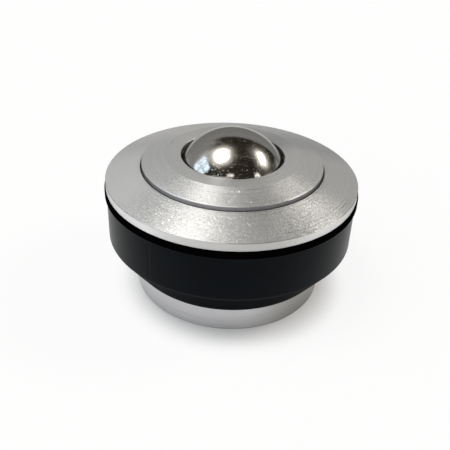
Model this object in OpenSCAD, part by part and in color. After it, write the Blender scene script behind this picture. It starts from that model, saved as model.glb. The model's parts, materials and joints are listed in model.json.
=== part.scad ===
// Sprung ball transfer unit.
// A load ball turns on a bed of small support balls in a hardened race. The race, its carrier and the
// cap ring are one carriage, which sinks on a stack of disc springs inside a turned aluminium housing.
// A moulded ring around the housing grips the hole that the unit is pushed into.
// Millimetres, +Z up, origin at the centre of the housing's foot.

/* [Balls] */
// Diameter of the load ball
ball_d = 25.4; // [20:0.1:32]
// Diameter of each support ball
support_d = 3; // [2.4:0.1:4]
// Running gap between a support ball and what it rolls on
ball_gap = 0.05; // [0.03:0.01:0.08]
// Least gap between neighbouring support balls
bed_gap = 0.12; // [0.1:0.01:0.3]
// Height of the load ball's top above the cap's rim
ball_rise = 5.4; // [4:0.1:7]

/* [Carriage] */
// Wall of the race
race_wall = 1.4; // [1:0.1:2]
// Height of the race's rim above the ball's centre
race_rim_h = 0.7; // [0.4:0.1:1.2]
// Wall of the carrier's threaded neck
neck_wall = 1.35; // [1:0.05:2]
// Wall of the cap's threaded skirt
skirt_wall = 1.05; // [0.9:0.05:1.6]
// Width of the collar that stops under the flange
collar_w = 0.9; // [0.7:0.1:1.4]
// Height of the plain land above the collar
land_h = 2; // [1:0.1:3]

/* [Cap] */
// Radial gap around the load ball in the cap's mouth
mouth_gap = 0.76; // [0.3:0.02:1]
// Width of the flat rim around the mouth
rim_w = 3.55; // [2:0.05:5]
// Slope of the cap's cone, in degrees
cap_slope = 16.7; // [8:0.1:20]
// How far the cap's edge stands above the flange
cap_step = 0.8; // [0.3:0.1:1.5]
// Thickness of the washer under the felt
seal_washer_t = 0.5; // [0.3:0.1:0.8]
// Height of the felt wiper
felt_h = 2.2; // [1.6:0.1:2.6]
// Gap between the felt and the load ball
felt_gap = 0.1; // [0.05:0.01:0.2]

/* [Springs] */
// How far the carriage can sink
travel = 2; // [1:0.1:2.4]
// Thickness of one disc spring
disc_t = 0.9; // [0.6:0.05:1]
// Height of one fitted disc spring
disc_h = 1.6; // [1.5:0.05:1.9]
// Thickness of the thrust washers
washer_t = 0.75; // [0.5:0.05:1]

/* [Housing] */
// Thickness of the housing's floor
floor_t = 2.5; // [1.5:0.1:4]
// Gap under the race when the carriage is fully down
foot_gap = 2.2; // [1:0.1:4]
// Wall of the housing around the springs
base_wall = 1.35; // [1:0.05:2.2]
// Wall of the housing around the flange's thread
cup_wall = 1.25; // [1:0.05:2]
// Wall of the flange's threaded skirt
flange_skirt_wall = 1.75; // [1.6:0.05:2.2]
// Length of the flange's threaded skirt
flange_skirt_h = 7.1; // [5:0.1:8]
// Chamfer around the foot
foot_chamfer = 0.2; // [0.1:0.05:0.8]

/* [Flange] */
// How far the flange reaches past the housing
overhang = 4.5; // [3.6:0.1:8]
// Slope of the flange's cone, in degrees
flange_slope = 17.5; // [10:0.1:22]
// Height of the flange's edge band
edge_h = 1.85; // [1:0.05:3]

/* [Mounting ring] */
// How far the ring's wall stands in from the flange's edge
ring_inset = 0.1; // [0:0.05:0.5]
// How far the ring's lip stands out from its wall
lip_w = 0.4; // [0.2:0.05:0.8]
// Height of the ring's lip
lip_h = 1.75; // [1:0.05:3]
// Height of the ring's straight wall
ring_wall_h = 9.85; // [7:0.05:12]
// Height of the ring's lead-in cone
nose_h = 6.75; // [3:0.05:8]
// Wall of the ring's end
nose_wall = 1.25; // [1:0.05:2]
// Height of the inward ledge that the housing's shoulder sits on
ledge_h = 2.25; // [1.5:0.05:3]

// Depth of the ring's snap bead in the housing's groove
bead_w = 0.3; // [0.2:0.05:0.5]
// Height of the snap bead
bead_h = 1.2; // [0.8:0.1:2]

/* [Fits] */
// Radial gap of the sliding carriage
slide_gap = 0.25; // [0.15:0.05:0.4]
// Radial gap of the parts that are screwed or pressed together
fit_gap = 0.05; // [0.02:0.01:0.1]
// Gap left at the carriage's stops
stop_gap = 0.05; // [0.03:0.01:0.2]
// Radial gap around the disc springs and under the race
spring_gap = 0.3; // [0.2:0.05:0.6]
// Small chamfer that breaks a turned edge
edge_break = 0.15; // [0.1:0.05:0.3]

/* [Hidden] */
$fn = 96;

// Radii, from the ball outwards
ball_r = ball_d / 2;
support_r = support_d / 2;
bed_r = ball_r + ball_gap + support_r;
race_r = bed_r + support_r + ball_gap;
race_out_r = race_r + race_wall;
neck_bore_r = race_out_r + fit_gap;
neck_r = neck_bore_r + neck_wall;
cap_bore_r = neck_r + fit_gap;
cap_r = cap_bore_r + skirt_wall;
flange_bore_r = cap_r + slide_gap;
collar_r = cap_r + collar_w;
guide_r = collar_r + slide_gap / 2;
flange_skirt_r = flange_bore_r + flange_skirt_wall;
thread_r = flange_skirt_r + fit_gap;
cup_r = thread_r + cup_wall;
flange_r = cup_r + overhang;
plug_r = cap_r - slide_gap / 2;
pocket_r = plug_r + spring_gap;
base_r = pocket_r + base_wall;
disc_out_r = pocket_r - spring_gap;

// Heights, from the foot upwards
springs_z = floor_t + washer_t;
disc_count = 4;
springs_top = springs_z + disc_count * disc_h;
carrier_z = springs_top + washer_t;
ball_z = floor_t + travel + foot_gap + race_out_r;
race_rim_z = ball_z + race_rim_h;
rim_z = ball_z + ball_r - ball_rise;
mouth_r = ball_r_at(rim_z) + mouth_gap;
rim_r = mouth_r + rim_w;
cap_edge_z = rim_z - (cap_r - rim_r) * tan(cap_slope);
bore_edge_z = cap_edge_z - cap_step;
flange_top_z = bore_edge_z - (flange_r - flange_bore_r) * tan(flange_slope);
flange_z = flange_top_z - edge_h;
skirt_z = flange_z - flange_skirt_h;
collar_top = skirt_z - stop_gap;
shoulder_z = carrier_z - edge_break;
collar_z = shoulder_z + travel + stop_gap;
land_top = collar_top + land_h;
washer_z = ball_z + support_r + 2 * bed_gap;
felt_z = washer_z + seal_washer_t;
felt_top = felt_z + felt_h;
disc_in_r = sqrt(pow(race_out_r, 2) - pow(ball_z - carrier_z, 2)) + spring_gap;

// Mounting ring
ring_r = flange_r - ring_inset;
ring_bore_r = cup_r + fit_gap;
lip_z = flange_z - lip_h;
nose_top = lip_z - ring_wall_h;
nose_z = nose_top - nose_h;
ledge_bore_r = base_r + fit_gap;
ledge_top = nose_z + ledge_h;
nose_r = base_r + nose_wall;
bead_z = (nose_top + lip_z) / 2;
bead_r = ring_bore_r - bead_w;
groove_r = bead_r - fit_gap;

// Support balls: as many rows of equal pitch as fit from the pole of the race up to its equator
pitch = support_d + bed_gap;
bed_rows = floor(90 / (2 * asin(pitch / 2 / bed_r)));
row_step = 90 / bed_rows;
last_low_row = floor(bed_rows / 3);
last_middle_row = floor(bed_rows * 2 / 3);

function ball_r_at(z) = sqrt(pow(ball_r, 2) - pow(z - ball_z, 2));
function row_r(row) = bed_r * sin(row * row_step);
function row_count(row) = 2 * floor(90 / asin(pitch / 2 / row_r(row)));
// The places of a row's balls, in degrees, with the first on +Y and one opposite it
function row_angles(row) = [for (i = [0:row_count(row) - 1]) 90 + i * 360 / row_count(row)];

module ring_of(points) {
    rotate_extrude() polygon(points);
}

// A half ball with a straight neck, centred on the load ball
module bowl(r, neck) {
    translate([0, 0, ball_z]) {
        intersection() {
            sphere(r = r);
            translate([0, 0, -r]) cylinder(r = r + 1, h = r);
        }
        cylinder(r = r, h = neck);
    }
}

module washer(r_in, r_out, z, t) {
    ring_of([[r_in, z], [r_out, z], [r_out, z + t], [r_in, z + t]]);
}

// Turned aluminium cup: spring pocket below, guide bore for the collar, thread bore for the flange
module housing_cup() {
    color("silver") ring_of([
        [0, 0],
        [base_r - foot_chamfer, 0],
        [base_r, foot_chamfer],
        [base_r, ledge_top],
        [cup_r, ledge_top],
        [cup_r, bead_z - bead_h / 2 - fit_gap],
        [groove_r, bead_z - bead_h / 2 - fit_gap],
        [groove_r, bead_z + bead_h / 2 + fit_gap],
        [cup_r, bead_z + bead_h / 2 + fit_gap],
        [cup_r, flange_z],
        [thread_r, flange_z],
        [thread_r, skirt_z - fit_gap],
        [guide_r, skirt_z - fit_gap],
        [guide_r, shoulder_z],
        [pocket_r, shoulder_z],
        [pocket_r, floor_t],
        [0, floor_t]
    ]);
}

// Flange and threaded skirt in one turning; its skirt's end holds the carriage down
module top_flange() {
    color("gainsboro") ring_of([
        [flange_bore_r, skirt_z],
        [flange_skirt_r, skirt_z],
        [flange_skirt_r, flange_z],
        [flange_r - edge_break, flange_z],
        [flange_r, flange_z + edge_break],
        [flange_r, flange_top_z - edge_break / 2],
        [flange_r - edge_break, flange_top_z + edge_break * tan(flange_slope)],
        [flange_bore_r + edge_break, bore_edge_z - edge_break * tan(flange_slope)],
        [flange_bore_r, bore_edge_z - edge_break]
    ]);
}

// Moulded ring: stop lip, straight gripping wall, lead-in cone and a bead that snaps into the housing
module mounting_ring() {
    color([0.05, 0.05, 0.055]) ring_of([
        [ledge_bore_r, nose_z],
        [nose_r - edge_break, nose_z],
        [nose_r, nose_z + edge_break],
        [ring_r, nose_top],
        [ring_r, lip_z],
        [ring_r + lip_w, lip_z + edge_break],
        [ring_r + lip_w, flange_z - edge_break],
        [ring_r + lip_w - edge_break, flange_z],
        [ring_bore_r, flange_z],
        [ring_bore_r, bead_z + bead_h / 2],
        [bead_r, bead_z + bead_h / 2],
        [ring_bore_r, bead_z - bead_h / 2],
        [ring_bore_r, ledge_top],
        [ledge_bore_r, ledge_top]
    ]);
}

module lower_thrust_washer() {
    color("dimgray") washer(disc_in_r, disc_out_r, floor_t, washer_t);
}

module upper_thrust_washer() {
    color("dimgray") washer(disc_in_r, disc_out_r, springs_top, washer_t);
}

// Coned disc number i from the floor; odd ones stand on their outer edge, even ones on their inner edge
module disc_spring(i) {
    low = springs_z + (i - 1) * disc_h;
    cone_h = disc_h - disc_t - stop_gap / 2;
    out_z = i % 2 == 1 ? low : low + cone_h;
    in_z = i % 2 == 1 ? low + cone_h : low;
    color("steelblue") ring_of([
        [disc_in_r, in_z],
        [disc_out_r, out_z],
        [disc_out_r, out_z + disc_t],
        [disc_in_r, in_z + disc_t]
    ]);
}

// Ring that carries the race in a round seat; its collar stops under the flange's skirt
module ball_carrier() {
    color("lightgray") difference() {
        ring_of([
            [0, carrier_z],
            [plug_r - edge_break, carrier_z],
            [plug_r, carrier_z + edge_break],
            [plug_r, collar_z],
            [collar_r, collar_z],
            [collar_r, collar_top],
            [cap_r, collar_top],
            [cap_r, land_top],
            [neck_r, land_top],
            [neck_r, race_rim_z],
            [0, race_rim_z]
        ]);
        bowl(race_out_r + fit_gap, race_rim_h + 1);
    }
}

// Hardened race: half a hollow ball with a short straight rim
module race_cup() {
    color("slategray") difference() {
        bowl(race_out_r, race_rim_h);
        bowl(race_r, race_rim_h + 1);
    }
}

// Cap ring: cone, flat rim and mouth on top, skirt screwed over the carrier's neck
module cap_ring() {
    color("whitesmoke") ring_of([
        [cap_bore_r, land_top + fit_gap],
        [cap_r, land_top + fit_gap],
        [cap_r, cap_edge_z - edge_break],
        [cap_r - edge_break, cap_edge_z + edge_break * tan(cap_slope)],
        [rim_r, rim_z],
        [mouth_r + edge_break, rim_z],
        [mouth_r, rim_z - edge_break],
        [ball_r_at(felt_top) + mouth_gap, felt_top],
        [race_r + fit_gap, felt_top],
        [race_r + fit_gap, race_rim_z + fit_gap],
        [cap_bore_r, race_rim_z + fit_gap]
    ]);
}

module seal_washer() {
    color("gray") washer(ball_r_at(washer_z) + mouth_gap, race_r, washer_z, seal_washer_t);
}

// Felt wiper: its inner face follows the load ball
module felt_seal() {
    color("darkkhaki") ring_of([
        [ball_r_at(felt_z) + felt_gap, felt_z],
        [race_r, felt_z],
        [race_r, felt_top],
        [ball_r_at(felt_top) + felt_gap, felt_top]
    ]);
}

module support_ball(row, angle) {
    rotate([0, 0, angle])
        translate([row_r(row), 0, ball_z - bed_r * cos(row * row_step)])
            sphere(r = support_r);
}

module support_rows(first, last) {
    color("lightsteelblue")
        for (row = [first:last])
            for (angle = row_angles(row)) support_ball(row, angle);
}

module pole_ball() {
    color("lightsteelblue") support_ball(0, 0);
}

module low_support_balls() {
    support_rows(1, last_low_row);
}

module middle_support_balls() {
    support_rows(last_low_row + 1, last_middle_row);
}

module high_support_balls() {
    support_rows(last_middle_row + 1, bed_rows - 1);
}

// The row at the equator without the two balls that lie on the Y axis
module equator_support_balls() {
    color("lightsteelblue") for (angle = row_angles(bed_rows))
        if (abs(cos(angle)) > 0.001) support_ball(bed_rows, angle);
}

// The two support balls on the Y axis, which spin in place when the load ball rolls about it
module axis_balls() {
    color("lightsteelblue") for (angle = [90, 270]) support_ball(bed_rows, angle);
}

module load_ball() {
    color("lightblue") translate([0, 0, ball_z]) sphere(r = ball_r);
}

housing_cup();
top_flange();
mounting_ring();
lower_thrust_washer();
disc_spring(1);  // disc_spring_1
disc_spring(2);  // disc_spring_2
disc_spring(3);  // disc_spring_3
disc_spring(4);  // disc_spring_4
upper_thrust_washer();
ball_carrier();
race_cup();
cap_ring();
seal_washer();
felt_seal();
pole_ball();
low_support_balls();
middle_support_balls();
high_support_balls();
equator_support_balls();
axis_balls();
load_ball();
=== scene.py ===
# %% [markdown]
# # A sprung ball transfer unit
# A polished load ball turns in a turned aluminium carriage, and the carriage sinks into an aluminium
# housing when it is overloaded. A black moulded ring around the housing grips the hole that the unit is
# pushed into. The engineering model is loaded first as a fixed frame. It has every piece at its true size,
# but its edges are knife sharp and it has no finish, so the lesson turns each round piece again with broken
# edges and a fine surface, and then gives it a material.

import json
import math

import bmesh
import bpy
from mathutils import Matrix, Vector


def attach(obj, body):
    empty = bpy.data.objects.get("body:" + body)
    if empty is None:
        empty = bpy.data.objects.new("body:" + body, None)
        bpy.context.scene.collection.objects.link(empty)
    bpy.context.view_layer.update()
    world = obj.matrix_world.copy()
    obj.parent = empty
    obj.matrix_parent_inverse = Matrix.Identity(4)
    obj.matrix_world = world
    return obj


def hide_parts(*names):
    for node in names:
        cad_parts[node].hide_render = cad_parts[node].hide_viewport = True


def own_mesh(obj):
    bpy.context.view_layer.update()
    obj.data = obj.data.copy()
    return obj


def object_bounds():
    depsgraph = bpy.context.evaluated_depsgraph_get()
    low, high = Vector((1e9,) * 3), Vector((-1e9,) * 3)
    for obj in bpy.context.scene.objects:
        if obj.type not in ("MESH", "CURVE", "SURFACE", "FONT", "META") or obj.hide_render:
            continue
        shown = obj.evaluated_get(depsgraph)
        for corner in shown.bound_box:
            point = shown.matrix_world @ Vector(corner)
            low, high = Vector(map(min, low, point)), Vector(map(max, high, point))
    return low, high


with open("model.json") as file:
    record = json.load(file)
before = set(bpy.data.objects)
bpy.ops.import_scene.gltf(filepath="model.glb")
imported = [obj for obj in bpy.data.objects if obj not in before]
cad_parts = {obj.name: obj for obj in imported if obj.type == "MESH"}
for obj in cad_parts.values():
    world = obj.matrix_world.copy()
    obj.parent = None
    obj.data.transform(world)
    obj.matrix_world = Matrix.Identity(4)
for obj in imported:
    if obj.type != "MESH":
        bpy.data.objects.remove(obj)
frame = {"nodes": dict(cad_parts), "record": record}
cad_low, cad_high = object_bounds()
MM = 0.001
print("frame box in mm:", [round(v / MM, 2) for v in (*cad_low, *cad_high)])

# %% [markdown]
# ## Reading a turned piece's outline
# Every metal piece here was made on a lathe, so half of its cross-section says all there is to know about
# its shape. The outline could be typed in again as a list of sizes, but then two files would have to agree.
# Instead the engineering piece is cut in half through its axis, and the edge of the cut is the outline.

# %% Cut a piece through its axis
SAME_POINT = 0.0005 * MM


def cut_edges(node):
    """The edges of the cut through a turned piece, on the +X side of its axis."""
    mesh = bmesh.new()
    mesh.from_mesh(frame["nodes"][node].data)
    bmesh.ops.remove_doubles(mesh, verts=mesh.verts, dist=SAME_POINT)
    for normal, both in (((0, 1, 0), True), ((-1, 0, 0), False)):
        everything = mesh.verts[:] + mesh.edges[:] + mesh.faces[:]
        bmesh.ops.bisect_plane(
            mesh, geom=everything, dist=SAME_POINT, plane_co=(0, 0, 0), plane_no=normal,
            clear_outer=True, clear_inner=both,
        )
    bmesh.ops.remove_doubles(mesh, verts=mesh.verts, dist=SAME_POINT)
    return mesh


# %% [markdown]
# The cut leaves a loop of edges, or a line with two ends where the piece meets the axis. It is followed
# from its lowest point. Points in the middle of a straight stretch are dropped, so that only real corners
# are left.

# %% Follow the edge of the cut
STRAIGHT = math.radians(0.5)


def turn_angle(before, here, after):
    """How sharply an outline turns at a point."""
    a, b = here - before, after - here
    return abs(a.angle_signed(b)) if a.length and b.length else 0.0


def outline(node):
    """The corners (radius, height) of a turned piece in order, and whether they close on themselves."""
    mesh = cut_edges(node)
    ends = [v for v in mesh.verts if len(v.link_edges) == 1]
    start = min(ends or mesh.verts, key=lambda v: (round(v.co.z, 6), v.co.x))
    path, edge = [start], start.link_edges[0]
    while edge:
        vertex = edge.other_vert(path[-1])
        if vertex == start:
            break
        path.append(vertex)
        edge = next((e for e in vertex.link_edges if e != edge), None)
    points = [Vector((v.co.x, v.co.z)) for v in path]
    closed = not ends
    mesh.free()
    count = len(points)
    kept = []
    for i, here in enumerate(points):
        at_end = not closed and i in (0, count - 1)
        if at_end or turn_angle(points[i - 1], here, points[(i + 1) % count]) > STRAIGHT:
            kept.append(here)
    return kept, closed


for name in ("housing_cup", "top_flange"):
    corners, closed = outline(name)
    print(name, "has", len(corners), "corners", "and closes" if closed else "and meets the axis")

# %% [markdown]
# ## Guard points
# A rounded edge next to a wide flat face spoils the shading of the flat, because smooth shading blends the
# two. A pair of extra points just past each end of the rounding keeps the blend where it belongs. The
# outline of a ring is also opened in the middle of a straight stretch, so that no corner lies on the seam.

# %% Add guard points and open the outline
BROKEN_EDGE = 0.08 * MM
GUARD = 0.03 * MM
LEAST_TURN = math.radians(12)
MOST_OF_A_SIDE = 0.45


def guarded(corners, closed, edge_r):
    """The outline with a guard point on each side of every corner that will be rounded."""
    count = len(corners)
    points = []
    for i, here in enumerate(corners):
        if not closed and i in (0, count - 1):
            points.append(here)
            continue
        before, after = corners[i - 1], corners[(i + 1) % count]
        angle = turn_angle(before, here, after)
        reach = edge_r * math.tan(angle / 2) + GUARD
        room = MOST_OF_A_SIDE * min((before - here).length, (after - here).length)
        if angle < LEAST_TURN or reach > room:
            points.append(here)
            continue
        points.append(here + (before - here).normalized() * reach)
        points.append(here)
        points.append(here + (after - here).normalized() * reach)
    if closed:
        longest = max(range(len(points)), key=lambda i: (points[i] - points[i - 1]).length)
        middle = (points[longest] + points[longest - 1]) / 2
        points = [middle] + points[longest:] + points[:longest] + [middle]
    return points


def in_scene(name, data):
    """A new object with the given mesh or camera, put into the scene."""
    made = bpy.data.objects.new(name, data)
    bpy.context.scene.collection.objects.link(made)
    return made


def outline_object(name, points):
    """A line of edges in the XZ plane, for the lathe to turn."""
    mesh = bpy.data.meshes.new(name)
    edges = [(i, i + 1) for i in range(len(points) - 1)]
    mesh.from_pydata([(p.x, 0, p.y) for p in points], edges, [])
    return in_scene(name, mesh)


with_guards = guarded(*outline("top_flange"), BROKEN_EDGE)
print("top_flange has", len(with_guards), "points with its guards")

# %% [markdown]
# ## Small helpers for node trees
# Geometry trees and material trees are built the same way: a node is added, some of its sockets get plain
# values, and others are linked. One helper does all three, so that the trees below read from top to bottom.
# The others are the sums and the smooth change from one value to another that every tree here needs.

# %% Helpers that add and link nodes


def add(tree, kind, inputs=None, **settings):
    """Adds a node, sets its properties, and fills or links its input sockets by name or number."""
    node = tree.nodes.new(kind)
    for key, value in settings.items():
        setattr(node, key, value)
    for key, value in (inputs or {}).items():
        if isinstance(value, bpy.types.NodeSocket):
            tree.links.new(value, node.inputs[key])
        else:
            node.inputs[key].default_value = value
    return node


def calc(tree, operation, a, b=0.0, clamp=False):
    """One sum on two values or sockets."""
    return add(tree, "ShaderNodeMath", {0: a, 1: b}, operation=operation, use_clamp=clamp).outputs[0]


def times(tree, *factors):
    """The product of any number of values or sockets."""
    product = factors[0]
    for factor in factors[1:]:
        product = calc(tree, "MULTIPLY", product, factor)
    return product


def vector_calc(tree, operation, a, b=(0.0, 0.0, 0.0)):
    """One sum on a vector and a second vector, or on a vector and a plain value for SCALE."""
    second = "Scale" if operation == "SCALE" else 1
    result = "Value" if operation in ("DOT_PRODUCT", "DISTANCE") else "Vector"
    return add(tree, "ShaderNodeVectorMath", {0: a, second: b}, operation=operation).outputs[result]


def ramp(tree, value, low, high, to_low=0.0, to_high=1.0):
    """Carries value smoothly from one range to another."""
    settings = {"Value": value, "From Min": low, "From Max": high, "To Min": to_low, "To Max": to_high}
    return add(tree, "ShaderNodeMapRange", settings, interpolation_type="SMOOTHSTEP").outputs[0]


# %% [markdown]
# A geometry tree does nothing by itself. It runs as a modifier on an object, and its result is then written
# out as a plain mesh, so that the finished piece needs no modifier any more.

# %% Helpers that start a geometry tree and run it


def new_tree(name, inputs):
    """A geometry tree with a mesh in, a mesh out and named inputs of its own."""
    tree = bpy.data.node_groups.new(name, "GeometryNodeTree")
    tree.interface.new_socket("Geometry", in_out="INPUT", socket_type="NodeSocketGeometry")
    for label, kind, value in inputs:
        socket = tree.interface.new_socket(label, in_out="INPUT", socket_type=kind)
        if value is not None:
            socket.default_value = value
    tree.interface.new_socket("Geometry", in_out="OUTPUT", socket_type="NodeSocketGeometry")
    return tree


def set_inputs(modifier, values):
    """Sets a modifier's inputs, found by the identifier of each named socket."""
    for item in modifier.node_group.interface.items_tree:
        if item.item_type == "SOCKET" and item.in_out == "INPUT" and item.name in values:
            modifier[item.identifier] = values[item.name]


def bake_down(source, name, tree, values):
    """Runs a geometry tree on an object and returns the result as a plain mesh object."""
    modifier = source.modifiers.new("tree", "NODES")
    modifier.node_group = tree
    set_inputs(modifier, values)
    depsgraph = bpy.context.evaluated_depsgraph_get()
    mesh = bpy.data.meshes.new_from_object(source.evaluated_get(depsgraph), depsgraph=depsgraph)
    mesh.name = name
    source.modifiers.remove(modifier)
    bpy.data.objects.remove(source)
    return in_scene(name, mesh)


# %% [markdown]
# ## The lathe
# A lathe gives a piece its shape by one rule: the outline is the same at every angle. Blender's Screw
# modifier or a spin in Edit Mode follows that rule too. A Geometry Nodes tree is used because it can round
# the outline's corners on the way, and one tree then turns every round piece, each with its own inputs.
# The tree lays out a flat grid, with one row for each point of the outline and one column for each step
# around, and moves every point of the grid to its place. The grid's own map goes with it, so that a
# material can tell which way the cutting tool ran.

# %% Build the lathe tree
EDGE_STEPS = 4
FINE, COARSE = 288, 144


def lathe_tree():
    tree = new_tree("turn on the lathe", [
        ("Edge radius", "NodeSocketFloat", BROKEN_EDGE),
        ("Edge steps", "NodeSocketInt", EDGE_STEPS),
        ("Steps around", "NodeSocketInt", COARSE),
        ("Finish", "NodeSocketMaterial", None),
    ])
    given = add(tree, "NodeGroupInput").outputs
    line = add(tree, "GeometryNodeMeshToCurve", {0: given["Geometry"]})
    rounded = add(tree, "GeometryNodeFilletCurve", {
        "Curve": line.outputs[0], "Radius": given["Edge radius"],
        "Count": given["Edge steps"], "Limit Radius": True,
    }, mode="POLY").outputs[0]
    points = add(tree, "GeometryNodeAttributeDomainSize", {0: rounded}, component="CURVE").outputs[0]
    grid = add(tree, "GeometryNodeMeshGrid", {
        "Size X": 1.0, "Size Y": 1.0,
        "Vertices X": calc(tree, "ADD", given["Steps around"], 1), "Vertices Y": points,
    })
    mapped = add(tree, "GeometryNodeStoreNamedAttribute", {
        "Geometry": grid.outputs["Mesh"], "Name": "UVMap", "Value": grid.outputs["UV Map"],
    }, data_type="FLOAT2", domain="CORNER").outputs[0]
    place = add(tree, "ShaderNodeSeparateXYZ", {0: add(tree, "GeometryNodeInputPosition").outputs[0]})
    across = calc(tree, "ADD", place.outputs["Y"], 0.5)
    angle = times(tree, calc(tree, "ADD", place.outputs["X"], 0.5), math.tau)
    row = calc(tree, "ROUND", times(tree, across, calc(tree, "SUBTRACT", points, 1)))
    sample = add(tree, "GeometryNodeSampleIndex", {
        "Geometry": rounded, "Value": add(tree, "GeometryNodeInputPosition").outputs[0], "Index": row,
    }, data_type="FLOAT_VECTOR", domain="POINT")
    corner = add(tree, "ShaderNodeSeparateXYZ", {0: sample.outputs[0]})
    turned = add(tree, "ShaderNodeCombineXYZ", {
        "X": times(tree, corner.outputs["X"], calc(tree, "COSINE", angle)),
        "Y": times(tree, corner.outputs["X"], calc(tree, "SINE", angle)),
        "Z": corner.outputs["Z"],
    }).outputs[0]
    moved = add(tree, "GeometryNodeSetPosition", {"Geometry": mapped, "Position": turned}).outputs[0]
    joined = add(tree, "GeometryNodeMergeByDistance", {"Geometry": moved, "Distance": 0.1 * SAME_POINT})
    real = add(tree, "GeometryNodeRealizeInstances", {0: joined.outputs[0]}).outputs[0]
    finished = add(tree, "GeometryNodeSetMaterial", {"Geometry": real, "Material": given["Finish"]})
    add(tree, "NodeGroupOutput", {0: finished.outputs[0]})
    return tree


lathe = lathe_tree()
print("the lathe tree has", len(lathe.nodes), "nodes")

# %% [markdown]
# ## Which way is out
# An outline can be followed either way round, and one of the two turns the piece inside out. The volume of
# a closed mesh tells them apart, because it comes out negative when the faces point inwards.

# %% Turn a piece and make its faces point out


def facing_out(piece):
    """Flips a closed piece whose faces point inwards, shades it smooth and counts its open edges."""
    mesh = bmesh.new()
    mesh.from_mesh(piece.data)
    if mesh.calc_volume(signed=True) < 0:
        bmesh.ops.reverse_faces(mesh, faces=mesh.faces)
    open_edges = sum(not e.is_manifold for e in mesh.edges)
    mesh.to_mesh(piece.data)
    mesh.free()
    piece.data.shade_smooth()
    return open_edges


def turned_piece(node, body, material, edge_r, steps=COARSE):
    """Turns one piece of the frame again, with broken edges and a finish."""
    corners, closed = outline(node)
    blank = outline_object(node + "_outline", guarded(corners, closed, edge_r))
    piece = bake_down(blank, node + "_turned", lathe, {
        "Edge radius": edge_r, "Edge steps": EDGE_STEPS, "Steps around": steps, "Finish": material,
    })
    open_edges = facing_out(piece)
    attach(piece, body)
    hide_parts(node)
    print(piece.name, len(piece.data.polygons), "faces,", open_edges, "open edges")
    return piece


# %% [markdown]
# ## Where a material is on the piece
# A turning tool leaves a fine spiral. Its lines run around the axis and follow each other along the
# surface, so a pattern for them needs the radius, the angle and the height of each point, and not X, Y and
# Z. One class works these out from the Object coordinates, for all the materials.

# %% Work out the round coordinates


class Place:
    """Where a point is on a piece, in one material tree. Lengths are in millimetres."""

    def __init__(self, tree):
        self.tree = tree
        self.point = add(tree, "ShaderNodeTexCoord").outputs["Object"]
        x, y, z = add(tree, "ShaderNodeSeparateXYZ", {0: self.point}).outputs
        squares = calc(tree, "ADD", times(tree, x, x), times(tree, y, y))
        self.radius = calc(tree, "DIVIDE", calc(tree, "SQRT", squares), MM)
        self.height = calc(tree, "DIVIDE", z, MM)
        self.along = calc(tree, "ADD", self.radius, self.height)
        angle = calc(tree, "ARCTAN2", y, x)
        self.cos = calc(tree, "COSINE", angle)
        self.sin = calc(tree, "SINE", angle)


# %% [markdown]
# Three patterns make all the finishes. Lines around the axis are what a tool leaves. A speckle is an even
# grain. Facets are tiny flats that each lean their own way, as on a blasted surface. A bump of the same
# size would need a finer render to sparkle.

# %% Helpers for lines, grain and facets


def tool_lines(place, per_mm, wander):
    """Fine lines around the axis. wander is how fast they change on their way round."""
    spot = add(place.tree, "ShaderNodeCombineXYZ", {
        "X": times(place.tree, place.along, per_mm),
        "Y": times(place.tree, place.cos, wander),
        "Z": times(place.tree, place.sin, wander),
    }).outputs[0]
    noise = add(place.tree, "ShaderNodeTexNoise", {"Vector": spot, "Scale": 1.0, "Detail": 2.0})
    return noise.outputs["Fac"]


def speckle(place, size_mm, detail=2.0, roughness=0.5):
    """An even grain of the given size."""
    return add(place.tree, "ShaderNodeTexNoise", {
        "Vector": place.point, "Scale": 1 / (size_mm * MM), "Detail": detail, "Roughness": roughness,
    }).outputs["Fac"]


def facets(place, size_mm, lean, share=1.0, under=None):
    """A normal that leans a random way in every little cell, or only in a share of the cells."""
    tree, scale = place.tree, 1 / (size_mm * MM)
    cell = add(tree, "ShaderNodeTexVoronoi", {"Vector": place.point, "Scale": scale}).outputs["Color"]
    chance = add(tree, "ShaderNodeTexWhiteNoise", {"Vector": cell}).outputs["Value"]
    chosen = calc(tree, "LESS_THAN", chance, share)
    way = vector_calc(tree, "SUBTRACT", cell, (0.5, 0.5, 0.5))
    tilt = vector_calc(tree, "SCALE", way, times(tree, chosen, lean, 2.0))
    plain = under or add(tree, "ShaderNodeNewGeometry").outputs["Normal"]
    return vector_calc(tree, "NORMALIZE", vector_calc(tree, "ADD", plain, tilt))


# %% [markdown]
# Dirt, scratches and worn parts are each in one place. A place is given by a radius or a height, and by an
# angle around the axis, so it belongs to the piece and stays there from every side.

# %% Helpers for a place on a piece


def band(tree, value, middle, half_width):
    """1 at the middle of a band and 0 at its edges and beyond."""
    away = calc(tree, "ABSOLUTE", calc(tree, "SUBTRACT", value, middle))
    return ramp(tree, away, 0.0, half_width, 1.0, 0.0)


def side(place, at_deg, half_deg, amount=1.0, full_at=1.0):
    """An amount about one angle, and 0 beyond half_deg on either side of it."""
    at = math.radians(at_deg)
    around = add(place.tree, "ShaderNodeCombineXYZ", {0: place.cos, 1: place.sin}).outputs[0]
    facing = vector_calc(place.tree, "DOT_PRODUCT", around, (math.cos(at), math.sin(at), 0.0))
    end = math.cos(math.radians(half_deg))
    return ramp(place.tree, facing, end, end + full_at * (1 - end), 0.0, amount)


def arc(place, radius, half_width, at_deg, half_deg, full_at=0.4):
    """A mark along a circle: at a radius, about an angle, as long as twice half_deg."""
    across = band(place.tree, place.radius, radius, half_width)
    return times(place.tree, across, side(place, at_deg, half_deg, full_at=full_at))


# %% [markdown]
# A material is built up like paint on a real piece: a ground colour, then other colours laid over it where
# a pattern says so, and last the bumps. Values that are the same all over are set on the shader's own
# sockets, because they are lost on the way out of Blender when they arrive through other nodes.

# %% Helpers for colours and surfaces
QUARTER_TURN = 0.25


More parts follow.
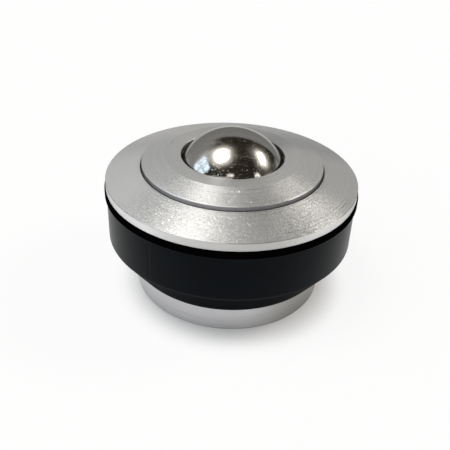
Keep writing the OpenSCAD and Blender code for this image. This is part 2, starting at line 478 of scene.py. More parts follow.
def new_material(name, colour, metallic, roughness, **sockets):
    """A Principled material whose plain values are set on the shader's own sockets."""
    material = bpy.data.materials.new(name)
    material.use_nodes = True
    shader = material.node_tree.nodes["Principled BSDF"]
    shader.inputs["Base Color"].default_value = (*colour, 1)
    shader.inputs["Metallic"].default_value = metallic
    shader.inputs["Roughness"].default_value = roughness
    for key, value in sockets.items():
        shader.inputs[key.replace("_", " ")].default_value = value
    material.diffuse_color = (*colour, 1)
    return material, material.node_tree, shader


def over(tree, under, colour, amount):
    """Lays a plain colour over another colour or socket, by an amount from 0 to 1."""
    if not isinstance(under, bpy.types.NodeSocket):
        under = (*under, 1)
    mix = add(tree, "ShaderNodeMix", {0: amount, 6: under, 7: (*colour, 1)}, data_type="RGBA")
    return mix.outputs[2]


def raise_surface(tree, shader, layers, normal=None):
    """Adds bumps to a shader, each a pattern from 0 to 1 and its height in millimetres."""
    for pattern, height in layers:
        inputs = {"Height": pattern, "Distance": abs(height) * MM}
        if normal:
            inputs["Normal"] = normal
        normal = add(tree, "ShaderNodeBump", inputs, invert=height < 0).outputs[0]
    tree.links.new(normal, shader.inputs["Normal"])


def stretch_across_lines(tree, shader):
    """Turns the Anisotropic stretch across the tool's lines, by the map that the lathe made."""
    tangent = add(tree, "ShaderNodeTangent", direction_type="UV_MAP", uv_map="UVMap").outputs[0]
    tree.links.new(tangent, shader.inputs["Tangent"])
    shader.inputs["Anisotropic Rotation"].default_value = QUARTER_TURN


def say_made(*materials):
    """Prints each material's name and how many nodes it took."""
    for material in materials:
        print("material", material.name, "has", len(material.node_tree.nodes), "nodes")


# %% [markdown]
# ## Turned aluminium
# The flange and the cap were faced with a fine feed and then lightly blasted. Light and shade are painted
# into their colour: painted shade at the back right, painted light on the flange's left and its edge band,
# painted shade on the band's front, and painted glints among dark specks where the highlights' edges fall.
# Painted shade darkens the groove around the cap and the mouth, and a darker line runs along the outer
# edge.
# An image could hold all this, but colours laid over each other by radius and angle stay sharp at any
# distance and can be changed one by one. Each side below is the angle of its middle and its reach to either
# side in degrees, and a glint part also has its amount.

# %% Painted light and shade, painted glints and a dark edge line
GROOVE_MM = ((19.60, 19.68), (19.91, 19.97))
MOUTH_MM = (11.17, 11.30)
BAND_START_MM, BAND_TEXTURE = (27.38, 27.44), 0.15
# Painted shade for the groove and the mouth, and the tone of the darker line along the outer edge.
PAINTED_GROOVE_SHADE, PAINTED_MOUTH_SHADE = (0.25, 0.25, 0.255), (0.15, 0.15, 0.15)
DARK_EDGE_TONE, EDGE_LINE, EDGE_LINE_MM = (0.20, 0.20, 0.20), 0.85, (0.13, 0.06)
# Painted shade at the back right and the band's front, painted light on the flange's left and the band.
SHADED_BACK_SIDE, PAINTED_BACK_SHADE = (56, 50), (0.45, 0.45, 0.445)
LIT_LEFT_SIDE, PAINTED_LEFT_LIGHT = (-168, 38), (0.85, 0.85, 0.845)
SHADED_FRONT_SIDE, PAINTED_FRONT_BAND_SHADE = (-90, 42), (0.54, 0.54, 0.53)
PAINTED_BAND_LIGHT = (0.80, 0.80, 0.79)
# Painted glints among dark specks, where the edges of the two highlights fall.
GLINT_PARTS = ((-130, 20, 0.40), (-52, 34, 0.50))
PIT_MM, GLINT_PIT_TONE, PAINTED_GLINT_TONE = 0.24, (0.36, 0.36, 0.35), (1.0, 1.0, 0.98)


def painted_light_and_shade(tree, place, shade):
    """Paints shade on the back right and the band's front, and light on the flange's left and its edge
    band.
    """
    on_flange = ramp(tree, place.radius, *GROOVE_MM[1])
    on_band = ramp(tree, place.radius, *BAND_START_MM)
    shade = over(tree, shade, PAINTED_BACK_SHADE, side(place, *SHADED_BACK_SIDE))
    shade = over(tree, shade, PAINTED_LEFT_LIGHT, times(tree, side(place, *LIT_LEFT_SIDE), on_flange))
    shade = over(tree, shade, PAINTED_BAND_LIGHT, on_band)
    return over(tree, shade, PAINTED_FRONT_BAND_SHADE, times(tree, side(place, *SHADED_FRONT_SIDE), on_band))


def painted_glints(tree, place, shade, texture):
    """Paints glints among dark specks where the highlights' edges fall on the front, where there is
    texture.
    """
    glint_part = calc(tree, "ADD", *(side(place, *part) for part in GLINT_PARTS))
    pattern = speckle(place, PIT_MM, detail=1.0)
    pits, glints = ramp(tree, pattern, 0.50, 0.62), ramp(tree, pattern, 0.46, 0.36)
    shade = over(tree, shade, GLINT_PIT_TONE, times(tree, pits, texture, glint_part))
    return over(tree, shade, PAINTED_GLINT_TONE, times(tree, glints, texture, glint_part))


def darken_groove_mouth_and_edge(tree, place, shade, edge_along):
    """Paints shade into the groove around the cap and the mouth, and a darker line along the outer edge."""
    past_cap = ramp(tree, place.radius, *GROOVE_MM[0])
    before_flange = ramp(tree, place.radius, *GROOVE_MM[1], 1.0, 0.0)
    shade = over(tree, shade, PAINTED_GROOVE_SHADE, times(tree, past_cap, before_flange))
    shade = over(tree, shade, PAINTED_MOUTH_SHADE, ramp(tree, place.radius, *MOUTH_MM, 1.0, 0.0))
    if not edge_along:
        return shade
    line = ramp(tree, place.along, *(edge_along - back for back in EDGE_LINE_MM), 0.0, EDGE_LINE)
    return over(tree, shade, DARK_EDGE_TONE, line)


# Prints where the painted glints are.
print("painted glint parts at", [part[0] for part in GLINT_PARTS], "degrees around the axis")

# %% [markdown]
# The tool's lines stretch every reflection across them, which gives a turned disc its fans of light. The
# Anisotropic value does that better than any bump could, because the lines are far finer than a render
# shows. Over it lie two fields of facets for the blasting, fine and shallow ones everywhere and a few that
# lean more, and then bumps for coarser lines, a grain and each scratch.

# %% Make the turned aluminium
ALUMINIUM = (0.69, 0.69, 0.685)
DARKEST, BRIGHTEST = 0.92, 1.04
TURNED_ROUGHNESS, RIM_ROUGHNESS, RIM_END_MM = 0.39, 0.34, (14.60, 14.72)
LINE_HEIGHT, DASH_HEIGHT, GRAIN_HEIGHT = 0.003, 0.015, 0.022
SCRATCH_TONE, SCRATCH_STRENGTH = (0.16, 0.16, 0.16), 0.6
BLASTED_MM, BLASTED_LEAN, SMOOTHER_SIDE = 0.16, 0.10, (-106, 28, 0.06)
SPARKLE_MM, SPARKLE_LEAN, SPARKLE_SHARE = 0.20, 0.16, 0.07


def blasted(tree, place):
    """The facets of a blasted surface: fine ones everywhere, and a few that sparkle."""
    lean = calc(tree, "SUBTRACT", BLASTED_LEAN, side(place, *SMOOTHER_SIDE))
    fine = facets(place, BLASTED_MM, lean)
    return facets(place, SPARKLE_MM, SPARKLE_LEAN, SPARKLE_SHARE, fine)


def turned_aluminium(name, scratches, edge_along=None):
    material, tree, shader = new_material(
        name, ALUMINIUM, metallic=0.72, roughness=TURNED_ROUGHNESS, Anisotropic=0.72,
        Specular_Tint=(0.5, 0.5, 0.5, 1.0), Coat_Weight=0.2, Coat_Roughness=0.25, Coat_IOR=1.5,
    )
    place = Place(tree)
    lines = tool_lines(place, per_mm=7.0, wander=1.2)
    dashes = tool_lines(place, per_mm=4.0, wander=22.0)
    grain = speckle(place, 0.30, roughness=0.6)
    texture = ramp(tree, place.radius, *BAND_START_MM, 1.0, BAND_TEXTURE)
    both = calc(tree, "ADD", times(tree, lines, 0.5), times(tree, grain, 0.5))
    dark, bright = (tuple(part * c for c in ALUMINIUM) for part in (DARKEST, BRIGHTEST))
    shade = over(tree, dark, bright, ramp(tree, both, 0.35, 0.65))
    shade = painted_light_and_shade(tree, place, shade)
    shade = painted_glints(tree, place, shade, texture)
    shade = darken_groove_mouth_and_edge(tree, place, shade, edge_along)
    layers = [(lines, LINE_HEIGHT)]
    layers += [(times(tree, dashes, texture), DASH_HEIGHT), (times(tree, grain, texture), GRAIN_HEIGHT)]
    broken = ramp(tree, speckle(place, 0.8), 0.40, 0.56, 0.15, 1.0)
    for *where, depth in scratches:
        scratch = times(tree, arc(place, *where), broken)
        shade = over(tree, shade, SCRATCH_TONE, times(tree, scratch, SCRATCH_STRENGTH))
        layers.append((scratch, depth))
    tree.links.new(shade, shader.inputs["Base Color"])
    patches = calc(tree, "ADD", speckle(place, 5.0), times(tree, grain, 0.4))
    uneven = ramp(tree, patches, 0.4, 1.0, -0.05, 0.06)
    plain = ramp(tree, place.radius, *RIM_END_MM, RIM_ROUGHNESS, TURNED_ROUGHNESS)
    tree.links.new(calc(tree, "ADD", uneven, plain), shader.inputs["Roughness"])
    stretch_across_lines(tree, shader)
    raise_surface(tree, shader, layers, blasted(tree, place))
    return material


# %% [markdown]
# Each scratch is a short groove along a circle. Its numbers are the circle's radius, half of its width, the
# angle of its middle, half of its length in degrees, and its height, which is negative for a groove.

# %% Scratch the flange and the cap
FLANGE_EDGE_ALONG = 54.02
FLANGE_SCRATCHES = [
    (26.1, 0.14, -45, 24, -0.02), (25.4, 0.10, -38, 14, -0.015), (20.35, 0.10, -85, 70, -0.02),
    (21.0, 0.10, -55, 22, -0.015), (21.6, 0.08, -48, 14, -0.012), (20.9, 0.08, -128, 18, -0.012),
    (23.8, 0.06, -98, 18, -0.01), (26.9, 0.12, -96, 3, -0.03), (26.7, 0.10, -69, 4, -0.03),
]
CAP_SCRATCHES = [
    (15.35, 0.13, -62, 20, -0.02), (14.9, 0.10, -46, 12, -0.02), (15.5, 0.12, -118, 8, -0.02),
    (14.35, 0.16, 161, 3, -0.03), (16.4, 0.06, -92, 16, -0.01), (12.3, 0.10, -50, 12, -0.01),
]
flange_metal = turned_aluminium("turned_flange", FLANGE_SCRATCHES, FLANGE_EDGE_ALONG)
cap_metal = turned_aluminium("turned_cap", CAP_SCRATCHES)
say_made(flange_metal, cap_metal)

# %% [markdown]
# ## The housing's aluminium
# Below the black ring only the housing's smooth foot shows. It was turned with a finer feed than the
# flange and was not blasted, so its lines are barely seen and its reflections are soft and even. Shade is
# painted on its right, and a painted contact shadow runs round it just above the table.

# %% Make the foot's aluminium
FOOT_DARK, FOOT_BRIGHT = (0.51, 0.51, 0.52), (0.59, 0.59, 0.60)
# Painted shade on the right, and a painted contact shadow just above the table.
SHADED_RIGHT_SIDE, PAINTED_RIGHT_SHADE = (-20, 60), (0.33, 0.325, 0.305)
CONTACT_SHADOW_MM, CONTACT_SHADOW_AMOUNT, CONTACT_SHADOW_TONE = (0.1, 0.5), 0.6, (0.25, 0.25, 0.25)


def foot_aluminium():
    material, tree, shader = new_material(
        "foot_aluminium", (0.55, 0.55, 0.56), metallic=1.0, roughness=0.36, Anisotropic=0.3
    )
    place = Place(tree)
    lines = tool_lines(place, per_mm=12.0, wander=0.8)
    shade = over(tree, FOOT_DARK, FOOT_BRIGHT, ramp(tree, lines, 0.3, 0.7))
    # Painted shade on the foot's right side.
    shade = over(tree, shade, PAINTED_RIGHT_SHADE, side(place, *SHADED_RIGHT_SIDE))
    # A painted contact shadow round the foot just above the table.
    contact_shadow = ramp(tree, place.height, *CONTACT_SHADOW_MM, CONTACT_SHADOW_AMOUNT, 0.0)
    tree.links.new(over(tree, shade, CONTACT_SHADOW_TONE, contact_shadow), shader.inputs["Base Color"])
    stretch_across_lines(tree, shader)
    raise_surface(tree, shader, [(lines, 0.0015), (speckle(place, 0.12), 0.0008)])
    return material


foot_metal = foot_aluminium()
say_made(foot_metal)

# %% [markdown]
# ## The black ring's plastic
# The ring is moulded in black nylon with a satin skin. It reflects little from the front and more at its
# sides, which a low Specular level and a middling roughness give. Two faint grooves run down the wall where
# the halves of the mould met, and a painted highlight lies along the edge where the wall turns into the
# nose.
# The nose and the lip took a duller skin from the mould, so they get plain materials of their own.

# %% Make the black nylon
NYLON_DARK, NYLON_PALE = (0.0001, 0.0006, 0.0014), (0.0005, 0.0014, 0.0028)
# The colour of a painted highlight along the edge between the wall and the nose.
NOSE_EDGE_MM, NOSE_EDGE_HALF_MM, PAINTED_EDGE_HIGHLIGHT = 13.17, 0.16, (0.020, 0.022, 0.025)
SEAMS_DEG, SEAM_HALF_DEG, SEAM_FLAT, WALL_MM = (54.6, 234.6), 0.81, 0.81, (27.0, 6.0)


def black_nylon():
    material, tree, shader = new_material(
        "black_nylon", (0.003, 0.004, 0.005), metallic=0.0, roughness=0.32, Specular_IOR_Level=0.07,
        Specular_Tint=(0.85, 0.95, 1.0, 1.0),
    )
    place = Place(tree)
    skin = speckle(place, 0.35, detail=3.0)
    shade = over(tree, NYLON_DARK, NYLON_PALE, ramp(tree, speckle(place, 9.0), 0.3, 0.7))
    nose_edge = band(tree, place.height, NOSE_EDGE_MM, NOSE_EDGE_HALF_MM)
    # A painted highlight along the nose's edge.
    tree.links.new(over(tree, shade, PAINTED_EDGE_HIGHLIGHT, nose_edge), shader.inputs["Base Color"])
    tree.links.new(ramp(tree, skin, 0.2, 0.8, 0.28, 0.35), shader.inputs["Roughness"])
    seams = (arc(place, *WALL_MM, at_deg, SEAM_HALF_DEG, SEAM_FLAT) for at_deg in SEAMS_DEG)
    raise_surface(tree, shader, [(skin, 0.0015), (calc(tree, "ADD", *seams), -0.02)])
    return material


nylon = black_nylon()
nose_nylon, _, _ = new_material(
    "nose_nylon", (0.0002, 0.0009, 0.0018), metallic=0.0, roughness=0.6, Specular_IOR_Level=0.012
)
unpolished_nylon, _, _ = new_material(
    "unpolished_nylon", (0.001, 0.001, 0.0012), metallic=0.0, roughness=0.85, Specular_IOR_Level=0.0
)
say_made(nylon, nose_nylon, unpolished_nylon)

# %% [markdown]
# ## The load ball's steel
# The ball is hardened, ground and polished like a bearing ball, so it is a near mirror: its look is what it
# reflects. It has rolled under real loads, so it has a thin haze, small brown specks and tiny dents. The
# dents are facets in a few cells only, because facets all over would blur the whole mirror.

# %% Make the polished steel
BALL_STEEL, SPECK_TONE = (0.47, 0.458, 0.44), (0.30, 0.28, 0.24)
DENT_MM, DENT_LEAN, DENT_SHARE = 0.25, 0.055, 0.04


def polished_steel():
    material, tree, shader = new_material(
        "polished_steel", BALL_STEEL, metallic=1.0, roughness=0.06, Specular_Tint=(0.6, 0.6, 0.6, 1.0)
    )
    place = Place(tree)
    specks = ramp(tree, speckle(place, 0.34), 0.62, 0.70)
    haze = speckle(place, 2.5, detail=3.0)
    waves = speckle(place, 0.8, detail=3.0, roughness=0.7)
    tree.links.new(over(tree, BALL_STEEL, SPECK_TONE, specks), shader.inputs["Base Color"])
    tree.links.new(ramp(tree, haze, 0.3, 0.8, 0.08, 0.12), shader.inputs["Roughness"])
    dents = facets(place, DENT_MM, DENT_LEAN, DENT_SHARE)
    raise_surface(tree, shader, [(waves, 0.011), (specks, -0.012)], dents)
    return material


ball_steel = polished_steel()
say_made(ball_steel)

# %% [markdown]
# ## Steel and felt inside
# The race, the washers and the disc springs never show on a finished unit, but they are part of it. Ground
# steel, oiled spring steel and dense felt each get a short material.

# %% Make the inner materials


def plain_steel(name, colour, roughness, grain_mm):
    material, tree, shader = new_material(name, colour, metallic=1.0, roughness=roughness)
    place = Place(tree)
    lines = tool_lines(place, per_mm=8.0, wander=2.0)
    dark, bright = (tuple(part * c for c in colour) for part in (0.85, 1.1))
    shade = over(tree, dark, bright, ramp(tree, speckle(place, grain_mm), 0.3, 0.7))
    tree.links.new(shade, shader.inputs["Base Color"])
    uneven = ramp(tree, lines, 0.2, 0.8, roughness - 0.05, roughness + 0.08)
    tree.links.new(uneven, shader.inputs["Roughness"])
    raise_surface(tree, shader, [(lines, 0.002)])
    return material


def felt_wool():
    material, tree, shader = new_material(
        "felt_wool", (0.42, 0.39, 0.33), metallic=0.0, roughness=0.95, Sheen_Weight=0.3
    )
    fibres = speckle(Place(tree), 0.15, detail=6.0, roughness=0.7)
    shade = over(tree, (0.30, 0.28, 0.23), (0.52, 0.49, 0.42), ramp(tree, fibres, 0.3, 0.7))
    tree.links.new(shade, shader.inputs["Base Color"])
    raise_surface(tree, shader, [(fibres, 0.06)])
    return material


race_steel = plain_steel("race_steel", (0.56, 0.56, 0.56), 0.22, 0.5)
spring_steel = plain_steel("spring_steel", (0.20, 0.20, 0.22), 0.35, 0.8)
felt = felt_wool()
say_made(race_steel, spring_steel, felt)

# %% [markdown]
# ## Turning the pieces
# With the lathe and the finishes ready, each piece is one line: its name in the frame, the body it moves
# with, its finish, how much its edges were broken, and how fine it is around. Only the ring has more than
# one finish. It stays one piece, and its faces are shared out by their height.

# %% Turn every round piece
RING_WALL = (13.07 * MM, 23.20 * MM)


def dull_parts(piece, for_nose, for_lip):
    """Gives the ring's nose and lip, below and above its smooth wall, duller finishes."""
    for material in (for_nose, for_lip):
        piece.data.materials.append(material)
    last = len(piece.data.materials) - 1
    for face in piece.data.polygons:
        if face.center.z <= RING_WALL[0]:
            face.material_index = last - 1
        elif face.center.z >= RING_WALL[1]:
            face.material_index = last
    print("the ring has", [m.name for m in piece.data.materials if m])


turned_piece("housing_cup", "housing", foot_metal, 0.10 * MM, FINE)
turned_piece("top_flange", "housing", flange_metal, BROKEN_EDGE, FINE)
ring = turned_piece("mounting_ring", "housing", nylon, 0.15 * MM, FINE)
dull_parts(ring, nose_nylon, unpolished_nylon)
turned_piece("cap_ring", "carriage", cap_metal, BROKEN_EDGE, FINE)
turned_piece("ball_carrier", "carriage", foot_metal, BROKEN_EDGE)
turned_piece("race_cup", "carriage", race_steel, BROKEN_EDGE)
turned_piece("seal_washer", "carriage", race_steel, 0.05 * MM)
turned_piece("felt_seal", "carriage", felt, 0.20 * MM)
turned_piece("upper_thrust_washer", "carriage", race_steel, BROKEN_EDGE)
turned_piece("lower_thrust_washer", "housing", race_steel, BROKEN_EDGE)

# %% [markdown]
# The disc springs are shallow steel cones, stacked in turn one way up and the other. They stand between
# the housing and the carriage, so they flatten when the carriage sinks. Four rigid pieces would have the
# carriage cut through them. Each is turned like the other pieces, moves with the housing and gets a mesh of
# its own.

# %% Turn the disc springs
spring_nodes = sorted(n for n in frame["nodes"] if n.startswith("disc_spring"))
for node in spring_nodes:
    spring = turned_piece(node, "housing", spring_steel, 0.15 * MM)
    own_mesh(spring)

# %% [markdown]
# ## The balls
# A ball made as a UV sphere pinches its faces at two poles, and a mirror finish shows them. A cube whose
# faces are split finely and whose points are all pushed out to one radius has no poles. The tangent of each
# coordinate is taken on the way, which makes the faces nearly even. The same tree makes the load ball and
# the support balls: it puts one such ball on every point that it is given.

# %% Build the ball tree
SMALL_BALL_SPLITS, LOAD_BALL_SPLITS = 4, 72


def ball_tree():
    tree = new_tree("balls on points", [
        ("Ball radius", "NodeSocketFloat", 1.5 * MM),
        ("Splits", "NodeSocketInt", SMALL_BALL_SPLITS),
        ("Finish", "NodeSocketMaterial", None),
    ])
    given = add(tree, "NodeGroupInput").outputs
    across = calc(tree, "ADD", given["Splits"], 1)
    cube = add(tree, "GeometryNodeMeshCube", {
        "Size": (1.0, 1.0, 1.0), "Vertices X": across, "Vertices Y": across, "Vertices Z": across,
    }).outputs[0]
    position = add(tree, "GeometryNodeInputPosition").outputs[0]
    even = vector_calc(tree, "TANGENT", vector_calc(tree, "SCALE", position, math.pi / 2))
    sized = vector_calc(tree, "SCALE", vector_calc(tree, "NORMALIZE", even), given["Ball radius"])
    ball = add(tree, "GeometryNodeSetPosition", {"Geometry": cube, "Position": sized}).outputs[0]
    dots = add(tree, "GeometryNodeMeshToPoints", {"Mesh": given["Geometry"]}).outputs[0]
    placed = add(tree, "GeometryNodeInstanceOnPoints", {"Points": dots, "Instance": ball}).outputs[0]
    real = add(tree, "GeometryNodeRealizeInstances", {0: placed}).outputs[0]
    finished = add(tree, "GeometryNodeSetMaterial", {"Geometry": real, "Material": given["Finish"]})
    add(tree, "NodeGroupOutput", {0: finished.outputs[0]})
    return tree


balls = ball_tree()
print("the ball tree has", len(balls.nodes), "nodes")

# %% [markdown]
# The balls' places come from the frame. Each of its pieces holds one or more separate balls, and the middle
# of each connected lump of the mesh is the centre of one.

# %% Find the balls' centres


def ball_centres(node):
    """The centre of every separate ball in a piece of the frame, and their radius."""
    mesh = bmesh.new()
    mesh.from_mesh(frame["nodes"][node].data)
    bmesh.ops.remove_doubles(mesh, verts=mesh.verts, dist=SAME_POINT)
    waiting = set(mesh.verts)
    centres, radius = [], 0.0
    for first in mesh.verts:
        if first not in waiting:
            continue
        waiting.remove(first)
        lump, edge_of_lump = {first}, [first]
        while edge_of_lump:
            vertex = edge_of_lump.pop()
            near = [e.other_vert(vertex) for e in vertex.link_edges]
            fresh = [v for v in near if v in waiting]
            edge_of_lump += fresh
            lump.update(fresh)
            waiting.difference_update(fresh)
        low = Vector([min(v.co[k] for v in lump) for k in range(3)])
        high = Vector([max(v.co[k] for v in lump) for k in range(3)])
        centres.append((low + high) / 2)
        radius = max(radius, max((v.co - centres[-1]).length for v in lump))
    mesh.free()
    return centres, radius


print("the load ball's centre in mm:", [round(v / MM, 2) for v in ball_centres("load_ball")[0][0]])

# %% Place new balls on the centres


def placed_balls(name, nodes, body, splits):
    """One mesh with a ball at every centre in the named pieces of the frame."""
    centres, radius = [], 0.0
    for node in nodes:
        found, radius = ball_centres(node)
        centres += found
    mesh = bpy.data.meshes.new(name + "_centres")
    mesh.from_pydata(centres, [], [])
    piece = bake_down(in_scene(name + "_centres", mesh), name, balls, {
        "Ball radius": radius, "Splits": splits, "Finish": ball_steel,
    })
    facing_out(piece)
    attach(piece, body)
    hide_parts(*nodes)
    print(name, "has", len(centres), "balls of", round(2 * radius / MM, 2), "mm")


bed_nodes = frame["record"]["behaviour"]["bodies"]["ball_bed"]
placed_balls("support_ball_bed", bed_nodes, "ball_bed", SMALL_BALL_SPLITS)
placed_balls("axis_ball_pair", ["axis_balls"], "axis_pair", SMALL_BALL_SPLITS)
placed_balls("load_ball_polished", ["load_ball"], "load_ball", LOAD_BALL_SPLITS)

# %% [markdown]
# ## The floor
# The unit stands on a wide white table. A plain white board under soft lamps would show a heavy shadow, as
# the ring hangs over the foot and keeps the light out. Part of the board's white is therefore its own glow,
# seen only by the camera and in reflections. The part is small under the foot and grows outwards, so the
# shadow stays and is a light one, as under the many bounces of a white studio.

# %% Mix the floor's board and glow
BOARD_WHITE, GLOW_WHITE, FAR_WHITE = (0.90, 0.90, 0.90), (1.0, 1.0, 1.0), (0.60, 0.60, 0.60)
FADE_MM = (400, 2500)
SHADOW_AT_MM = (0.5, -1.5)
SHADOW_REACH_MM = (18.8, 28.3)
GLOW_SHARE = (0.06, 0.88)


def white_table():
    material = bpy.data.materials.new("white_table")
    material.use_nodes = True
    tree = material.node_tree
    tree.nodes.clear()
    place = Place(tree)
    near = ramp(tree, place.radius, *FADE_MM, 1.0, 0.0)
    board_white, glow_white = (over(tree, FAR_WHITE, white, near) for white in (BOARD_WHITE, GLOW_WHITE))
    board = add(tree, "ShaderNodeBsdfDiffuse", {"Color": board_white}).outputs[0]
    glow = add(tree, "ShaderNodeEmission", {"Color": glow_white, "Strength": 1.0}).outputs[0]
    ray = add(tree, "ShaderNodeLightPath").outputs
    direct = calc(tree, "ADD", ray["Is Camera Ray"], ray["Is Glossy Ray"])
    seen = calc(tree, "ADD", direct, ray["Is Transmission Ray"], clamp=True)
    shadow_at = Vector((*SHADOW_AT_MM, 0)) * MM
    away = calc(tree, "DIVIDE", vector_calc(tree, "DISTANCE", place.point, shadow_at), MM)
    share = ramp(tree, away, *SHADOW_REACH_MM, *GLOW_SHARE)
    share = calc(tree, "MAXIMUM", share, calc(tree, "SUBTRACT", 1.0, near))
    mixed = add(tree, "ShaderNodeMixShader", {0: times(tree, seen, share), 1: board, 2: glow})
    add(tree, "ShaderNodeOutputMaterial", {0: mixed.outputs[0]})
    return material


# %% Lay the floor
FLOOR_HALF = 6.0
FLOOR_DROP = 0.02 * MM


def lay_floor(material):
    mesh = bpy.data.meshes.new("floor")
    corners = [(x * FLOOR_HALF, y * FLOOR_HALF, 0) for x, y in ((-1, -1), (1, -1), (1, 1), (-1, 1))]
    mesh.from_pydata(corners, [], [(0, 1, 2, 3)])
    mesh.materials.append(material)
    floor = in_scene("floor", mesh)
    floor.location.z = cad_low.z - FLOOR_DROP
    print("floor of", 2 * FLOOR_HALF, "m, just under", round(cad_low.z / MM, 2), "mm")


lay_floor(white_table())

# %% [markdown]
# ## The room
# Polished and turned metal shows what is around it, so the room matters as much as the lamps do. Real walls
# and area lamps could stand around the unit. Here it is all drawn in the world's own nodes, from the
# direction alone, because nothing then stands in the way when the unit is looked at from behind. Windows
# and lamps are rectangles with soft edges on the same sky.

# %% Draw a soft rectangle on the sky
NEARLY_BEHIND = (0.1, 0.2)


def sky_patch(tree, direction, middle, across, half_width, half_height, soft, corner):
    """1 inside a rounded rectangle on the sky and 0 outside, and how far out a point is each way."""
    ahead = Vector(middle).normalized()
    side_way = Vector(across)
    side_way = (side_way - ahead * side_way.dot(ahead)).normalized()
    axes = (ahead, side_way, ahead.cross(side_way))
    facing, a, b = (vector_calc(tree, "DOT_PRODUCT", direction, axis) for axis in axes)
    safe = calc(tree, "MAXIMUM", facing, NEARLY_BEHIND[0])
    away = []
    for value, half in ((a, half_width), (b, half_height)):
        out = calc(tree, "DIVIDE", calc(tree, "DIVIDE", value, safe), half)
        away.append(calc(tree, "ABSOLUTE", out))
    both = calc(tree, "ADD", *(calc(tree, "POWER", out, corner) for out in away))
    reach = calc(tree, "POWER", both, 1 / corner)
    inside = ramp(tree, reach, 1 - soft, 1 + soft, 1.0, 0.0)
    return times(tree, inside, ramp(tree, facing, *NEARLY_BEHIND)), away


# %% [markdown]
# The walls come first: dark and brownish overhead, a grey wall behind the unit and another to its left, and
# a pale band low down, which rises towards the front where a white studio is open.

# %% Draw the walls
DARK_ROOM, GREY_WALL, HORIZON = (0.038, 0.032, 0.024), (0.39, 0.39, 0.385), (0.60, 0.60, 0.60)
BACK_WALL_EDGE = (0.66, 0.74)
LEFT_WALL, LEFT_WALL_EDGE = (-0.80, 0.55, 0.25), (0.70, 0.90)
HORIZON_TOP, HORIZON_RISE, HORIZON_END = (0.12, 0.26), 0.2, (0.55, 0.75)


def walls(tree, direction):
    _, y, z = add(tree, "ShaderNodeSeparateXYZ", {0: direction}).outputs
    sky = over(tree, DARK_ROOM, GREY_WALL, ramp(tree, y, *BACK_WALL_EDGE))
    to_left = vector_calc(tree, "DOT_PRODUCT", direction, LEFT_WALL)
    sky = over(tree, sky, GREY_WALL, ramp(tree, to_left, *LEFT_WALL_EDGE))
    front = calc(tree, "MAXIMUM", times(tree, y, -1.0), 0.0)
    above = calc(tree, "SUBTRACT", z, times(tree, front, HORIZON_RISE))
    low = ramp(tree, above, *HORIZON_TOP, 1.0, 0.0)
    before_wall = ramp(tree, y, *HORIZON_END, 1.0, 0.0)
    return over(tree, sky, HORIZON, times(tree, low, before_wall))


# %% [markdown]
# Four plain patches, two lamps and a window light the unit. Each is given by the direction of its middle, a
# direction for its width, and its half width and half height as seen from the unit. A patch then has its
# softness and its colour, and a lamp its strength and how much blue it has for its red.

# %% Place the patches, the lamps and the window
PATCH_CORNER, LAMP_CORNER, WINDOW_CORNER = 3.0, 2.6, 8.0
PATCHES = {
    "white screen in front": ((-0.50, -0.78, 0.38), (1, 0, 0), 0.9, 0.22, 0.3, (2.4, 2.4, 2.4)),
    "pale wall over the window": ((-0.67, 0.08, 0.74), (0, 1, 0), 0.22, 0.34, 0.6, (0.92, 0.91, 0.88)),
    "small lamp in front": ((-0.05, -0.71, 0.70), (1, 0, 0), 0.10, 0.05, 0.5, (2.0, 1.9, 1.7)),
    "small lamp to the right": ((0.767, -0.394, 0.506), (0.3, 0.9, 0), 0.08, 0.09, 0.5, (2.4, 2.3, 2.2)),
}
LAMPS = {
    "lamp overhead": ((-0.335, -0.05, 0.95), (1, 0, 0), 0.18, 0.21, 9.6, 0.97),
    "lamp to the right": ((0.73, 0.21, 0.64), (0.36, 0.61, -0.71), 0.08, 0.14, 20.0, 0.90),
}
LAMP_RINGS = ((0.20, 0.7, (0.38, 0.36, 0.31)), (0.09, 0.6, (2.2, 2.1, 1.9)))
LAMP_SOFT = 0.5
WINDOW, WINDOW_SOFT, DAYLIGHT = ((-0.845, -0.07, 0.53), (0, 1, 0), 0.27, 0.23), 0.12, (1.75, 2.1, 2.4)
BAR_EDGE, BAR_LIGHT = (0.04, 0.20), 0.4
print("lights in the room: a window,", ", ".join([*PATCHES, *LAMPS]))

# %% [markdown]
# Each lamp is drawn three times, from a wide dim glow to a small bright middle, because a real lamp in a
# soft cover has no sharp edge. The window comes last. Its bars cross in the middle, and it shows in the
# left of the load ball.

# %% Draw the room in the world


def lamp(tree, sky, direction, middle, across, half_width, half_height, strength, blue):
    """Lays a lamp over the sky, from its outer glow to its middle."""
    bright = (strength, strength * (1 + blue) / 2, strength * blue)
    for grow, soft, colour in (*LAMP_RINGS, (0.0, LAMP_SOFT, bright)):
        size = half_width + grow, half_height + grow
        mask, _ = sky_patch(tree, direction, middle, across, *size, soft, LAMP_CORNER)
        sky = over(tree, sky, colour, mask)
    return sky


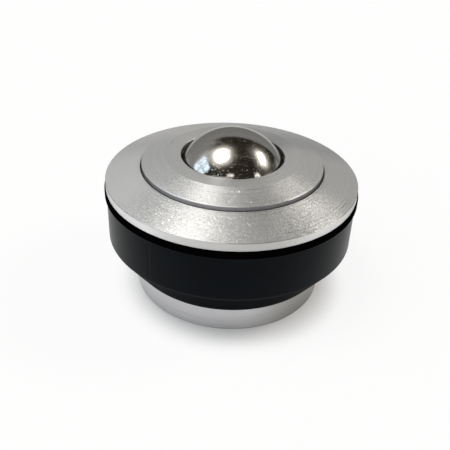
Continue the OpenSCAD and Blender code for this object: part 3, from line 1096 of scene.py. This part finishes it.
def window(tree, sky, direction):
    """Lays a window over the sky, with bars that let part of the daylight through."""
    mask, away = sky_patch(tree, direction, *WINDOW, WINDOW_SOFT, WINDOW_CORNER)
    panes = times(tree, *(ramp(tree, out, *BAR_EDGE) for out in away))
    light = calc(tree, "ADD", times(tree, panes, 1 - BAR_LIGHT), BAR_LIGHT)
    return over(tree, sky, DAYLIGHT, times(tree, mask, light))


def draw_room():
    world = bpy.data.worlds.new("room")
    bpy.context.scene.world = world
    world.use_nodes = True
    tree = world.node_tree
    tree.nodes.clear()
    direction = add(tree, "ShaderNodeTexCoord").outputs["Generated"]
    sky = walls(tree, direction)
    for *shape, colour in PATCHES.values():
        mask, _ = sky_patch(tree, direction, *shape, PATCH_CORNER)
        sky = over(tree, sky, colour, mask)
    for values in LAMPS.values():
        sky = lamp(tree, sky, direction, *values)
    sky = window(tree, sky, direction)
    shown = add(tree, "ShaderNodeBackground", {"Color": sky, "Strength": 1.0})
    add(tree, "ShaderNodeOutputWorld", {0: shown.outputs[0]})
    print("the room has", len(tree.nodes), "nodes")


draw_room()

# %% [markdown]
# ## The camera
# The camera looks down at the unit by about a third of a right angle, from just left of its middle, and is
# rolled a little clockwise. Its place is a distance from a point on the axis, so that it can be read.

# %% Place the camera
SENSOR_MM, LENS_MM = 36.0, 50.82
CLIP_M = (0.005, 50)
CAMERA_UP_DEG = 32.7
CAMERA_ROLL_DEG = 2.46
CAMERA_DISTANCE = 147.12 * MM
CAMERA_SIDE = -1.05 * MM
AIM_HEIGHT = 12.93 * MM


def place_camera():
    data = bpy.data.cameras.new("camera")
    data.sensor_width, data.lens = SENSOR_MM, LENS_MM
    data.clip_start, data.clip_end = CLIP_M
    camera = in_scene("camera", data)
    up_angle = math.radians(CAMERA_UP_DEG)
    back = Vector((0, -math.cos(up_angle), math.sin(up_angle)))
    right = Vector((1, 0, 0))
    level = Matrix((right, back.cross(right), back)).transposed()
    rolled = level @ Matrix.Rotation(math.radians(CAMERA_ROLL_DEG), 3, "Z")
    camera.location = Vector((0, 0, AIM_HEIGHT)) + back * CAMERA_DISTANCE + right * CAMERA_SIDE
    camera.rotation_euler = rolled.to_euler()
    bpy.context.scene.camera = camera
    print("camera at", [round(v / MM, 1) for v in camera.location], "mm")


place_camera()
bpy.context.scene.view_settings.view_transform = "Standard"
